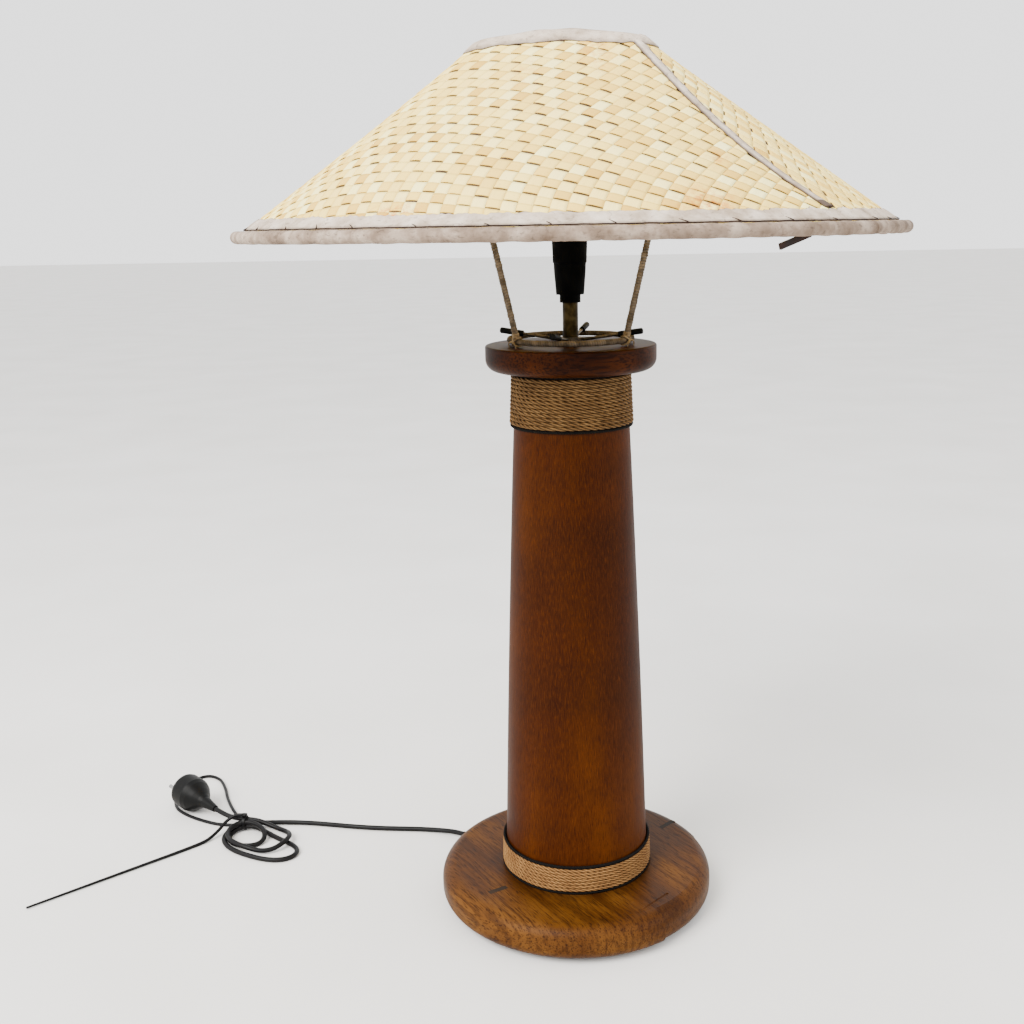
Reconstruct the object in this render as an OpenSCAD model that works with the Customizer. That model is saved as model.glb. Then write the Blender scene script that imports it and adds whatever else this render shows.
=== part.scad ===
// Palm-wood lamp with a woven shade on a cord-wrapped carrier, and its mains cord.
// Z is up, z = 0 is the floor, the lamp's axis is x = y = 0, and its front faces -Y.

/* [Base] */
// Radius of the round base slab
base_r = 152; // [140:1:170]
// Thickness of the base slab
base_t = 36; // [34:1:44]
// Height of the rubber feet that show under the slab
foot_h = 5; // [4:0.5:8]

/* [Column] */
// Radius of the turned column where it meets the base
col_bottom_r = 79.5; // [74:0.5:84]
// Radius of the turned column under the top disc
col_top_r = 57.8; // [52:0.2:64]
// Height of the column between base and top disc
col_h = 553; // [450:1:650]
// How far the column's side swells out at half height
col_bulge = 1.4; // [0:0.1:3]

/* [Top disc] */
// Radius of the turned disc on top of the column
disc_r = 88; // [82:1:100]
// Thickness of the top disc
disc_t = 26; // [22:1:34]

/* [Rope wraps] */
// Diameter of the rope in the upper wrap
upper_rope_d = 4.2; // [3:0.1:5]
// Turns of rope in the upper wrap
upper_turns = 12; // [6:1:14]
// Diameter of the rope in the lower wrap
lower_rope_d = 3.7; // [3:0.1:5]
// Turns of rope in the lower wrap
lower_turns = 7; // [4:1:10]

/* [Pole and lampholder] */
// Radius of the brass tube between top disc and lampholder
pole_r = 7.9; // [7:0.1:9]
// Length of the brass tube
pole_h = 42; // [38:1:60]
// Outer radius of the lampholder at its mouth
holder_r = 18.5; // [18.3:0.1:20]
// Travel of the push-bar switch
switch_travel = 6; // [4:0.5:7]

/* [Shade carrier] */
// Radius of the carrier ring to the middle of its wire
carrier_r = 62.5; // [58:0.5:68]
// Thickness of the wrapped carrier ring
carrier_d = 6; // [5:0.2:6.4]
// Thickness of the three wrapped uprights
upright_d = 5.4; // [4:0.2:6]
// Radius that the capped spider arms reach
arm_reach = 76; // [72:1:84]

/* [Shade] */
// Radius of the rim to the middle of its rolled edge
rim_r = 325; // [280:1:360]
// Height of the middle of the rim's rolled edge above the floor
rim_z = 732; // [726:1:745]
// Thickness of the rolled hide edge
rim_roll_d = 12; // [9:0.5:14]
// Width across the flats of the square top opening
top_w = 148; // [140:1:170]
// Height of the shade from rim to top edge
shade_h = 178; // [160:1:200]
// Thickness of the woven skin, measured sideways
skin_t = 3.8; // [2.5:0.1:4]
// How far the shade's corners are turned about the lamp's axis
shade_turn = -9; // [-10:1:10]

/* [Mains cord] */
// Diameter of the mains cord
cord_d = 6; // [5:0.2:6.4]
// Radius of the round plug's body
plug_r = 22; // [19:0.5:22]

/* [Hidden] */
$fn = 64;

gap = 0.05;             // clearance of a close fit
run_gap = 0.3;          // clearance between parts that move on each other
base_top = foot_h + base_t;
col_top = base_top + col_h;
disc_top = col_top + disc_t;
tenon_r = 44;           // the column's tenon in the base
tenon_h = 8;
recess_r = 24;          // the pocket under the base for nut, washer and lead
recess_h = 22;
pipe_r = 5;             // threaded lamp pipe, M10 outside
pipe_bore_r = 4.1;
lead_r = cord_d / 2;
lead_z = foot_h + lead_r + 0.1;
lead_turn = 140;        // the direction in which the lead leaves the base
lead_bend_r = 12;
lead_top = disc_top + pole_h + 16;      // inside the lampholder
foot_ring_r = 126;
foot_r = 13;
foot_turns = [-130, -10, 110];
clamp_x = 90;           // the clamp's place along the lead
clamp_screw_y = 9;

upper_wrap_top = col_top - 4;
upper_wrap_bottom = upper_wrap_top - upper_turns * upper_rope_d;
lower_wrap_bottom = base_top + 2.8;
lower_wrap_top = lower_wrap_bottom + lower_turns * lower_rope_d;

cap_bottom = disc_top + pole_h;
cap_top = cap_bottom + 83;
cap_step = cap_bottom + 8;
sleeve_top = cap_top + 40;
switch_z = cap_bottom + 72;
switch_r = 2.4;
insert_bottom = cap_top - 24;
insert_r = 11.8;
shell_r = 13.3;         // the lamp cap's thread, E27
shell_top = sleeve_top - 6;
thread_low = cap_top + 6;

hub_z = disc_top + 1.2 + run_gap;
hub_h = 5.5;
hub_r = 13;
arm_turns = [-105, -15, 75, 165];
arm_r = 1.6;
arm_rise = 8.3;         // degrees that the arms climb outwards
arm_cap_r = 3.1;
arm_cap_len = 25;
carrier_z = disc_top + 5.6;
upright_turns = [-150, -30, 90];
shade_ring_r = 123;
shade_ring_z = rim_z + 138;
wire_r = 2;
upright_lean = atan2(shade_ring_r - carrier_r, shade_ring_z - carrier_z);
upright_len = norm([shade_ring_r - carrier_r, shade_ring_z - carrier_z]);
lashing_r = 5.1;

top_z = rim_z + shade_h;
rim_wire_r = 2.4;
collar_h = 11;
corner_power = 6;       // how square the top opening is: 2 is round
rib_inset = 7.4;        // from the skin's outer face to a rib's middle
rib_low_z = rim_z + 1.5;
rib_high_z = top_z - 14;
seam_low_turn = -43;    // the seam's direction at the rim, and at the top edge
seam_high_turn = -56;

// The mains cord's own places on the floor
relief_start = 140;
relief_end = 178;
waist = [-416, 151, 9.6];                // where the tie holds the coil
plug_turn = -41.5;                       // plug axis, from pins to cord
plug_dip = 5;
neck_end = [-458.8, 173, 17.8];
plug_len = 70;                           // from the pin face to the end of the neck
run_route = [
    [-136.8, 114.8, 8.1], [-147, 123, 6.8], [-160, 131, 4.4], [-180, 137, 3.2],
    [-205, 140, 3.1], [-240, 142, 3.1], [-280, 148, 3.1], [-315, 156, 3.1],
    [-345, 161, 3.1], [-372, 162, 3.4], [-390, 159, 4.8], [-402, 155.5, 6.2], [-411, 152.5, 6.6]];
plug_route = [
    [-412, 152.5, 12.6], [-424, 153, 13.4], [-436, 157.5, 14.4], [-448, 164.8, 16.2],
    [-458.8, 173, 17.8]];
tie_d = 3;
tie_loop_route = [
    [-417.5, 160.2, 7], [-424, 167, 4.6], [-433, 181, 2.2], [-446, 204, 1.6], [-459, 232, 1.6],
    [-471, 264, 1.6], [-485, 290, 1.6], [-503, 301, 1.6], [-519, 290, 1.6], [-528, 262, 1.6],
    [-528, 232, 1.6], [-519, 207, 1.6], [-503, 190, 1.6], [-483, 176, 1.6], [-462, 165, 1.6],
    [-448, 160.5, 1.6], [-436, 158.5, 1.8], [-427, 158.3, 2.2], [-417.5, 157.8, 2.2]];
tie_tail_route = [
    [-417.5, 150, 20.4], [-428, 149.5, 19.4], [-438, 144.5, 14], [-446, 134, 7], [-455, 121, 2.6],
    [-466, 109, 1.6], [-490, 87, 1.6], [-530, 52, 1.6], [-575, 12.5, 1.6], [-620, -27, 1.6]];
coil_outside = [[-418, 136, 18], [-356, 86, 18], [-374, 122, 18], [-402, 98, 16]];
coil_inside = [[-406, 124, 7], [-380, 104, 8]];
coil_h = 14;

// ---------------------------------------------------------------- shared shapes

// Radius of the column's side at a height
function col_r(z) =
    let (t = (z - base_top) / col_h)
    col_bottom_r + (col_top_r - col_bottom_r) * t + col_bulge * 4 * t * (1 - t);

// Distance of the shade's outer face from the axis: a rounded square on top, a circle at the rim
function top_edge_r(a) =
    top_w / 2 / pow(pow(abs(cos(a)), corner_power) + pow(abs(sin(a)), corner_power), 1 / corner_power);
function shade_r(a, z) =
    let (t = (z - rim_z) / shade_h)
    rim_r * (1 - t) + top_edge_r(a) * t;
corner_lean = atan2(rim_r - top_edge_r(45), shade_h);

// A closed ring that follows the shade. Each profile point is [z, distance outside the skin].
module shade_loft(profile, sides = 72) {
    n = len(profile);
    points = [for (p = profile) for (i = [0:sides - 1])
        let (a = i * 360 / sides, r = shade_r(a, p[0]) + p[1])
        [r * cos(a + shade_turn), r * sin(a + shade_turn), p[0]]];
    faces = [for (k = [0:n - 1]) for (i = [0:sides - 1])
        let (k2 = (k + 1) % n, i2 = (i + 1) % sides)
        each [[k * sides + i, k2 * sides + i, k2 * sides + i2],
              [k * sides + i, k2 * sides + i2, k * sides + i2]]];
    polyhedron(points, faces);
}

// A smooth curve through hand-placed points (Catmull-Rom), and a round tube along it
function curve_point(a, b, c, d, t) =
    0.5 * (2 * b + (c - a) * t + (2 * a - 5 * b + 4 * c - d) * t * t
        + (3 * b - a - 3 * c + d) * t * t * t);
function smooth(route, steps) =
    let (n = len(route))
    [for (i = [0:n - 2]) for (s = [0:steps - 1])
        curve_point(route[max(i - 1, 0)], route[i], route[i + 1], route[min(i + 2, n - 1)], s / steps),
     route[n - 1]];
function unit(v) = v / norm(v);
module tube(route, r, sides, steps) {
    path = smooth(route, steps);
    n = len(path);
    points = [for (i = [0:n - 1])
        let (along = unit(path[min(i + 1, n - 1)] - path[max(i - 1, 0)]),
             side = unit(cross([0, 0, 1], along)),
             up = cross(along, side))
        for (k = [0:sides - 1])
            path[i] + r * (cos(k * 360 / sides) * side + sin(k * 360 / sides) * up)];
    walls = [for (i = [0:n - 2]) for (k = [0:sides - 1])
        let (k2 = (k + 1) % sides)
        each [[i * sides + k, (i + 1) * sides + k, (i + 1) * sides + k2],
              [i * sides + k, (i + 1) * sides + k2, i * sides + k2]]];
    first_end = [for (k = [0:sides - 1]) k];
    last_end = [for (k = [sides - 1:-1:0]) (n - 1) * sides + k];
    polyhedron(points, concat(walls, [first_end, last_end]));
}

// A round disc with a rounded upper and lower edge
module rounded_disc(r, t, upper, lower) {
    rotate_extrude() {
        translate([0, lower]) square([r - upper, t - lower]);
        square([r - lower, t - upper]);
        translate([0, lower]) square([r, t - upper - lower]);
        intersection() {
            union() {
                translate([r - upper, t - upper]) circle(upper);
                translate([r - lower, lower]) circle(lower);
            }
            square([r, t]);
        }
    }
}

module ring(r, wire, z) {
    translate([0, 0, z]) rotate_extrude() translate([r, 0]) circle(wire, $fn = 32);
}

module washer(r, bore, t, z) {
    translate([0, 0, z]) difference() {
        cylinder(r = r, h = t);
        translate([0, 0, -1]) cylinder(r = bore, h = t + 2);
    }
}

// Turns of rope lying on the column's side, from z0 upwards
module rope_wrap(z0, turns, d) {
    inner = [for (i = [turns:-1:0]) [col_r(z0 + i * d) + gap, z0 + i * d]];
    outer = [for (i = [0:turns - 1]) for (a = [-60, -20, 20, 60])
        [col_r(z0 + (i + 0.5) * d) + d / 2 + d / 2 * cos(a), z0 + (i + 0.5) * d + d / 2 * sin(a)]];
    rotate_extrude() polygon(concat(outer, inner));
}

module screw(head_r, head_h, shank_r, length) {
    cylinder(r = head_r, h = head_h);
    translate([0, 0, head_h - 0.01]) cylinder(r = shank_r, h = length - head_h + 0.01);
}

// ---------------------------------------------------------------- base and column

// One of the two dark wooden keys let into the slab's top, or with a margin, its pocket
module key_block(x, y, turn, length, margin, height) {
    translate([x, y, base_top - 5]) rotate([0, 0, turn])
        translate([-length / 2 - margin, -3 - margin, 0])
        cube([length + 2 * margin, 6 + 2 * margin, height]);
}

module base_keys(margin, height) {
    key_block(-87, -70, 32, 22, margin, height);
    key_block(110, 70, 46, 24, margin, height);
}

module base_slab(extra) {
    translate([0, 0, foot_h - extra]) rounded_disc(base_r, base_t + 2 * extra, 16, 12);
}

module base_disc() {
    board_turn = -54;   // from here one board of the slab is set in at the rim
    board_step = 3;
    color("#8a5a2a") difference() {
        base_slab(0);
        difference() {
            rotate([0, 0, board_turn]) translate([40, 0, 0]) cube([base_r, base_r, base_top + 5]);
            rotate([0, 0, board_turn]) translate([-board_step, 0, 0]) base_slab(0.3);
        }
        translate([0, 0, base_top - tenon_h - 0.2]) cylinder(r = tenon_r + gap, h = tenon_h + 1);
        translate([0, 0, foot_h - 1]) cylinder(r = recess_r, h = recess_h + 1);
        translate([0, 0, foot_h]) cylinder(r = pipe_r + gap, h = base_t);
        rotate([0, 0, lead_turn]) {
            translate([0, -4.5, foot_h - 1]) cube([base_r + 10, 9, lead_z + lead_r - foot_h + 1.3]);
            translate([relief_start - 1, 0, lead_z]) rotate([0, 90, 0]) cylinder(r = 5.6, h = 40);
            for (y = [-clamp_screw_y, clamp_screw_y]) {
                translate([clamp_x, y, foot_h - 1]) cylinder(r = 1.3, h = 13);
            }
        }
        for (a = foot_turns) {
            rotate([0, 0, a]) translate([foot_ring_r, 0, foot_h - 1]) cylinder(r = 1.95, h = 18);
        }
        base_keys(0.1, 10);
        translate([78, -100, base_top + 0.6]) rotate([0, 0, 46]) rotate([0, 90, 0])
            cylinder(r = 1.6, h = 50, center = true);
    }
}

module key_inlays() {
    color("#3a322c") translate([0, 0, 0.1]) base_keys(0, 4.9);
}

module base_feet() {
    color("#202020") for (a = foot_turns) {
        rotate([0, 0, a]) translate([foot_ring_r, 0, 0]) difference() {
            cylinder(r = foot_r, h = foot_h);
            translate([0, 0, -1]) cylinder(r = 4.5, h = 3.6);
            translate([0, 0, -1]) cylinder(r = 2, h = foot_h + 2);
        }
    }
}

module foot_screws() {
    color("silver") for (a = foot_turns) {
        rotate([0, 0, a]) translate([foot_ring_r, 0, 0.7]) screw(4, 1.9, 1.9, 18);
    }
}

module base_nut() {
    color("goldenrod") translate([0, 0, foot_h + recess_h - 7]) difference() {
        cylinder(r = 9.8, h = 5, $fn = 6);
        translate([0, 0, -1]) cylinder(r = pipe_r + gap, h = 7);
    }
}

module base_washer() {
    color("silver") washer(18, pipe_r + gap, 2, foot_h + recess_h - 2);
}

module cord_clamp() {
    color("#2a2a2a") rotate([0, 0, lead_turn]) difference() {
        translate([clamp_x - 5, -14, foot_h - 1.3]) cube([10, 28, 1.3]);
        for (y = [-clamp_screw_y, clamp_screw_y]) {
            translate([clamp_x, y, 0]) cylinder(r = 1.5, h = foot_h + 1);
        }
    }
}

module clamp_screws() {
    color("silver") rotate([0, 0, lead_turn]) for (y = [-clamp_screw_y, clamp_screw_y]) {
        translate([clamp_x, y, foot_h - 3.1]) screw(3, 1.7, 1.25, 14);
    }
}

module column() {
    steps = 12;
    side = [for (i = [0:steps]) let (z = base_top + i * col_h / steps) [col_r(z), z]];
    color("#733d1a") difference() {
        rotate_extrude() polygon(concat(side, [[0, col_top], [0, base_top - tenon_h],
            [tenon_r, base_top - tenon_h], [tenon_r, base_top]]));
        translate([0, 0, base_top - tenon_h - 1]) cylinder(r = 7, h = col_h + tenon_h + 2);
    }
}

module lower_rope_wrap() {
    color("#a5784b") rope_wrap(lower_wrap_bottom, lower_turns, lower_rope_d);
}

module lower_ring_top() {
    z = lower_wrap_top + 1.95;
    r = col_r(z) + 2;
    color("#232326") difference() {
        union() {
            ring(r, 1.9, z);
            rotate([0, 0, 150]) translate([r + 1.5, 0, z - 0.5]) sphere(3.4);
        }
        translate([0, 0, lower_wrap_bottom]) cylinder(r = col_r(lower_wrap_bottom) + lower_rope_d,
            h = lower_wrap_top - lower_wrap_bottom + gap);
        translate([0, 0, z - 10]) cylinder(r1 = col_r(z - 10) + gap, r2 = col_r(z + 10) + gap, h = 20);
    }
}

module lower_ring_bottom() {
    z = base_top + 1.4;
    color("#232326") ring(col_r(z) + 2.8, 1.3, z);
}

module upper_rope_wrap() {
    color("#a5784b") rope_wrap(upper_wrap_bottom, upper_turns, upper_rope_d);
}

module upper_ring_top() {
    z = upper_wrap_top + 1.95;
    color("#232326") ring(col_r(z) + 2, 1.9, z);
}

module upper_ring_bottom() {
    z = upper_wrap_bottom - 1.75;
    color("#232326") ring(col_r(z) + 1.8, 1.7, z);
}

module top_disc() {
    color("#4a2512") translate([0, 0, col_top]) difference() {
        rounded_disc(disc_r, disc_t, 2, 12);
        translate([0, 0, -1]) cylinder(r = pipe_r + gap, h = disc_t + 2);
    }
}

// ---------------------------------------------------------------- pole and lampholder

module lamp_pipe() {
    low = foot_h + recess_h - 9;
    color("darkgoldenrod") translate([0, 0, low]) difference() {
        cylinder(r = pipe_r, h = cap_bottom + 11 - low);
        translate([0, 0, -1]) cylinder(r = pipe_bore_r, h = cap_bottom + 13 - low);
    }
}

module pole_washer() {
    color("goldenrod") washer(15, pole_r + gap, 1.2, disc_top);
}

module pole_tube() {
    color("#645a46") washer(pole_r, pipe_r + gap, pole_h, disc_top);
}

module holder_cap() {
    color("#18181a") difference() {
        rotate_extrude() polygon([
            [pipe_r + gap, cap_bottom], [10.6, cap_bottom], [10.6, cap_step], [14.2, cap_step],
            [16, cap_step + 22], [16.4, cap_step + 31], [17.2, cap_step + 32],
            [17.8, cap_step + 50], [18.2, cap_top], [12, cap_top], [12, cap_step + 6],
            [pipe_r + gap, cap_step + 5]]);
        translate([0, 0, switch_z]) rotate([0, 90, 0])
            cylinder(r = switch_r + 0.1, h = 60, center = true);
        translate([0, 0, cap_bottom + 4]) rotate([-90, 0, 0]) cylinder(r = 1.55, h = 12);
    }
}

module holder_screw() {
    color("silver") translate([0, pipe_r + gap, cap_bottom + 4]) rotate([-90, 0, 0])
        cylinder(r = 1.5, h = 7);
}

module holder_insert() {
    color("#ece5d8") difference() {
        translate([0, 0, insert_bottom]) cylinder(r = insert_r, h = cap_top - insert_bottom);
        translate([0, 0, switch_z]) rotate([0, 90, 0])
            cylinder(r = switch_r + 0.1, h = 30, center = true);
        for (x = [-7, 7]) {
            translate([x, 0, insert_bottom - 1]) cylinder(r = 1.55, h = 8);
        }
    }
}

module terminal_screws() {
    color("goldenrod") for (x = [-7, 7]) {
        translate([x, 0, insert_bottom - 2.5]) screw(2.8, 2.4, 1.5, 8);
    }
}

module holder_sleeve() {
    color("#18181a") rotate_extrude() polygon([
        [shell_r + 2, cap_top], [holder_r, cap_top], [holder_r, cap_top + 4],
        [17.6, sleeve_top - 2], [17, sleeve_top], [shell_r + 1.1, sleeve_top],
        [shell_r + 1.1, cap_top + 4], [shell_r + 2, cap_top + 3]]);
}

module screw_shell() {
    color("gold") {
        washer(shell_r + 1, shell_r, shell_top - thread_low, thread_low);
        washer(shell_r + 1, shell_r + 0.4, thread_low - cap_top - 1, cap_top + 1);
        washer(shell_r + 1, 6, 1, cap_top);
    }
}

module centre_contact() {
    color("gold") translate([0, 0, cap_top]) {
        cylinder(r = 4, h = 1.5);
        cylinder(r = 2.4, h = 4);
    }
}

module switch_bar() {
    color("#202022") translate([switch_travel / 2, 0, switch_z]) rotate([0, 90, 0])
        cylinder(r = switch_r, h = 2 * holder_r + switch_travel + 3, center = true);
}

module inner_lead() {
    color("#262224") rotate([0, 0, lead_turn]) {
        translate([0, 0, lead_z + lead_bend_r])
            cylinder(r = lead_r, h = lead_top - lead_z - lead_bend_r);
        translate([lead_bend_r, 0, lead_z + lead_bend_r]) rotate([90, 0, 0]) rotate([0, 0, 180])
            rotate_extrude(angle = 90) translate([lead_bend_r, 0]) circle(lead_r);
        translate([lead_bend_r, 0, lead_z]) rotate([0, 90, 0])
            cylinder(r = lead_r, h = relief_start - lead_bend_r - gap);
    }
}

module lead_cores() {
    rise = insert_bottom - 2.5 - lead_top;
    color("#7a4a2a") for (s = [-1, 1]) {
        translate([s * 1.6, 0, lead_top + 0.4]) rotate([0, s * atan2(5.4, rise), 0])
            cylinder(r = 1.1, h = rise - 1);
    }
}

// ---------------------------------------------------------------- shade carrier

module on_arm(turn) {
    rotate([0, 0, turn]) translate([hub_r - 1, 0, hub_z + 3]) rotate([0, 90 - arm_rise, 0])
        children();
}

module spider() {
    arm_len = (arm_reach - hub_r) / cos(arm_rise);
    color("#3c3a38") difference() {
        union() {
            translate([0, 0, hub_z]) cylinder(r = hub_r, h = hub_h);
            for (a = arm_turns) {
                on_arm(a) cylinder(r = arm_r, h = arm_len - 2);
            }
        }
        translate([0, 0, hub_z - 1]) cylinder(r = pole_r + 0.1, h = hub_h + 2);
    }
}

module spider_caps() {
    arm_len = (arm_reach - hub_r) / cos(arm_rise);
    color("#1c1c1c") for (a = arm_turns) {
        on_arm(a) difference() {
            union() {
                translate([0, 0, arm_len - arm_cap_len]) cylinder(r = arm_cap_r, h = arm_cap_len - 1);
                translate([0, 0, arm_len - 1]) cylinder(r1 = arm_cap_r, r2 = arm_cap_r - 1, h = 1);
            }
            cylinder(r = arm_r + 0.02, h = arm_len - 1.9);
        }
    }
}

module carrier_ring() {
    color("#8f7a64") ring(carrier_r, carrier_d / 2, carrier_z);
}

module on_upright(turn) {
    rotate([0, 0, turn]) translate([carrier_r, 0, carrier_z]) rotate([0, upright_lean, 0])
        children();
}

module lashings() {
    color("#a08a70") difference() {
        for (a = upright_turns) {
            rotate([0, 0, a]) translate([carrier_r, 0, carrier_z]) sphere(lashing_r);
        }
        ring(carrier_r, carrier_d / 2 + 0.02, carrier_z);
        for (a = upright_turns) {
            on_upright(a) cylinder(r = upright_d / 2 + 0.02, h = 20);
        }
    }
}

module uprights() {
    start = carrier_d / 2 + gap;
    color("#8f7a64") for (a = upright_turns) {
        on_upright(a) translate([0, 0, start])
            cylinder(r = upright_d / 2, h = upright_len - start - wire_r - gap);
    }
}

module shade_ring() {
    color("#6f6a60") ring(shade_ring_r, wire_r, shade_ring_z);
}

// ---------------------------------------------------------------- shade

module shade_ribs() {
    height = rib_high_z - rib_low_z;
    color("#6f6a60") for (a = [45:90:315]) {
        rotate([0, 0, a + shade_turn])
            translate([shade_r(45, rib_low_z) - rib_inset, 0, rib_low_z])
            rotate([0, -corner_lean, 0]) cylinder(r = 1.8, h = height / cos(corner_lean));
    }
}

module top_wire() {
    color("#6f6a60") shade_loft([[top_z - 10, -11], [top_z - 10, -7.5],
        [top_z - 6, -7.5], [top_z - 6, -11]]);
}

module rim_wire() {
    color("#6f6a60") ring(rim_r, rim_wire_r, rim_z);
}

module woven_skin() {
    low = rim_z + 6.2;
    high = top_z - collar_h;
    color("#ecd7a4") shade_loft([[low, 0], [high, 0], [top_z, 0],
        [top_z, -skin_t], [high, -skin_t], [low, -skin_t]]);
}

module rim_binding() {
    color("#c3b9b5") difference() {
        ring(rim_r, rim_roll_d / 2, rim_z);
        ring(rim_r, rim_wire_r + gap, rim_z);
    }
}

module rim_band() {
    low = rim_z + 5;
    high = rim_z + 16;
    color("#c3b9b5") shade_loft([[low, 0.3], [low, 2.4], [high, 2.4], [high, 0.3]]);
}

module top_collar() {
    low = top_z - collar_h;
    color("#c3b9b5") shade_loft([[low, 0.5], [low, 2.8], [top_z + 2, 3.2],
        [top_z + 2, -skin_t - 2.6], [low, -skin_t - 2.4], [low, -skin_t - 0.5],
        [top_z + 0.4, -skin_t - 0.2], [top_z + 0.4, 1.1]]);
}

// The band over the mat's seam. It leans most near the rim.
module seam_strip() {
    low = rim_z + 17;
    high = top_z - 13;
    rows = 10;
    section = [[-5.5, 0.4], [0, 0.4], [5.5, 0.4], [5.5, 2.2], [0, 2.2], [-5.5, 2.2]];
    points = [for (i = [0:rows])
        let (z = low + (high - low) * i / rows,
             lean = 1 - pow(1 - (z - rim_z) / shade_h, 3),
             middle = seam_low_turn + (seam_high_turn - seam_low_turn) * lean - shade_turn)
        for (p = section)
        let (a = middle + asin(p[0] / shade_r(middle, z)), r = shade_r(a, z) + p[1])
        [r * cos(a + shade_turn), r * sin(a + shade_turn), z]];
    sides = [for (i = [0:rows - 1]) for (k = [0:5])
        let (here = i * 6 + k, next = i * 6 + (k + 1) % 6)
        each [[here, next, here + 6], [next, next + 6, here + 6]]];
    color("#b5aaa4") polyhedron(points, concat(sides,
        [[5, 4, 3, 2, 1, 0], [for (k = [0:5]) rows * 6 + k]]));
}

module rim_thong() {
    color("#4a2f22") rotate([0, 0, -57]) translate([rim_r - 8.5, 0, rim_z - 8.5])
        rotate([16, 0, 0]) cube([2.2, 34, 5], center = true);
}

// ---------------------------------------------------------------- mains cord

module strain_relief() {
    color("#1d1b1c") rotate([0, 0, lead_turn]) translate([relief_start, 0, lead_z])
        rotate([0, 90, 0]) {
            cylinder(r = 5.3, h = 12);
            translate([0, 0, 12]) cylinder(r1 = 5.3, r2 = 3.6, h = relief_end - relief_start - 12);
        }
}

module mains_cord() {
    color("#262224") tube(run_route, lead_r, 8, 3);
}

module at_waist() {
    translate(waist) rotate([0, 0, -5]) rotate([0, 90, 0]) children();
}

// The outline round a list of [x, y, radius]
module outline(circles) {
    hull() for (c = circles) {
        translate([c[0], c[1]]) circle(c[2], $fn = 24);
    }
}

module cord_coil() {
    color("#262224") difference() {
        linear_extrude(coil_h) difference() {
            outline(coil_outside);
            outline(coil_inside);
        }
        at_waist() difference() {
            cylinder(r = 9.7, h = 5.2, center = true);
            cylinder(r = 7.9, h = 6, center = true);
        }
    }
}

module plug_lead() {
    color("#262224") tube(plug_route, lead_r, 8, 2);
}

// Local Z runs from the pin face towards the cord
module on_plug() {
    translate(neck_end) rotate([0, 0, plug_turn]) rotate([0, 90 + plug_dip, 0])
        translate([0, 0, -plug_len]) children();
}

module plug_body() {
    color("#1b1b1d") on_plug() difference() {
        rotate_extrude() polygon([[0, 0], [plug_r - 3, 0], [plug_r - 1, 1.5], [plug_r, 5],
            [plug_r, 22], [plug_r - 2, 28], [plug_r - 7, 36], [10, 43], [7.5, 48],
            [5.6, 60], [4.2, plug_len], [0, plug_len]]);
        for (y = [-9.5, 9.5]) {
            translate([0, y, -1]) cylinder(r = 2.45, h = 9);
        }
    }
}

module plug_pins() {
    color("silver") on_plug() for (y = [-9.5, 9.5]) {
        translate([0, y, -19]) cylinder(r = 2.4, h = 26.5);
    }
}

// A long tie: its band and catch hold the coil's waist, and its loop lies round the plug
module cable_tie() {
    color("#161618") {
        at_waist() {
            difference() {
                cylinder(r = 9.4, h = 4.6, center = true);
                cylinder(r = 8, h = 6, center = true);
            }
            translate([-10.6, 0, 0]) cube([3, 7, 6], center = true);
        }
        tube(tie_loop_route, tie_d / 2, 8, 2);
        tube(tie_tail_route, tie_d / 2, 8, 2);
    }
}

base_disc();
key_inlays();
base_feet();
foot_screws();
base_nut();
base_washer();
cord_clamp();
clamp_screws();
column();
lower_rope_wrap();
lower_ring_top();
lower_ring_bottom();
upper_rope_wrap();
upper_ring_top();
upper_ring_bottom();
top_disc();
lamp_pipe();
pole_washer();
pole_tube();
holder_cap();
holder_screw();
holder_insert();
terminal_screws();
holder_sleeve();
screw_shell();
centre_contact();
switch_bar();
inner_lead();
lead_cores();
spider();
spider_caps();
carrier_ring();
lashings();
uprights();
shade_ring();
shade_ribs();
top_wire();
rim_wire();
woven_skin();
rim_binding();
rim_band();
top_collar();
seam_strip();
rim_thong();
strain_relief();
mains_cord();
cord_coil();
plug_lead();
plug_body();
plug_pins();
cable_tie();
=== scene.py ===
"""The looks of the woven shade lamp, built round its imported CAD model. Metres; -Y is the front."""

import math

import bpy
import numpy as np
from mathutils import Matrix
from numpy.linalg import norm
from numpy.random import default_rng


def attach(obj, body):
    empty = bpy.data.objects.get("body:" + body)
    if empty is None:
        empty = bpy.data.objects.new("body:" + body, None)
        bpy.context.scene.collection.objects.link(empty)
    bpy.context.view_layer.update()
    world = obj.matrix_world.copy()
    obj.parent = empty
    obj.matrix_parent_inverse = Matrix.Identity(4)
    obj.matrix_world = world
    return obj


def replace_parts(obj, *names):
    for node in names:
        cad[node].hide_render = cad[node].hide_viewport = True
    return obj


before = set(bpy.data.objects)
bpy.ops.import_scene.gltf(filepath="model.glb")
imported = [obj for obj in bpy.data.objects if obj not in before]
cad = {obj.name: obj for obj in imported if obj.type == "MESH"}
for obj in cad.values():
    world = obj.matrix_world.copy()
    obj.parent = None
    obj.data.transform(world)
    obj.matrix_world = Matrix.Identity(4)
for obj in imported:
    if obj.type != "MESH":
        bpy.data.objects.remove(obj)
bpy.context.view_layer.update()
MM = 0.001
TAU = 2 * math.pi
UPWARD = np.array([0, 0, 1.0])
WAVE_COUNT, STRANDS, WRAP_COLUMNS = 9, 3, 12
CAMERA_PLACE = (-0.0275, -1.2374, 0.7372)
CAMERA_TURN = (0.18, 76.63, -1.0)    # yaw, tilt and roll, in degrees
CAMERA_LENS, CAMERA_SHIFT = 42.19, -0.0303
COLUMN_BOTTOM, COLUMN_HEIGHT = 0.041, 0.553
COLUMN_FOOT_R, COLUMN_HEAD_R, COLUMN_BULGE = 0.0795, 0.0578, 0.0014
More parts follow.
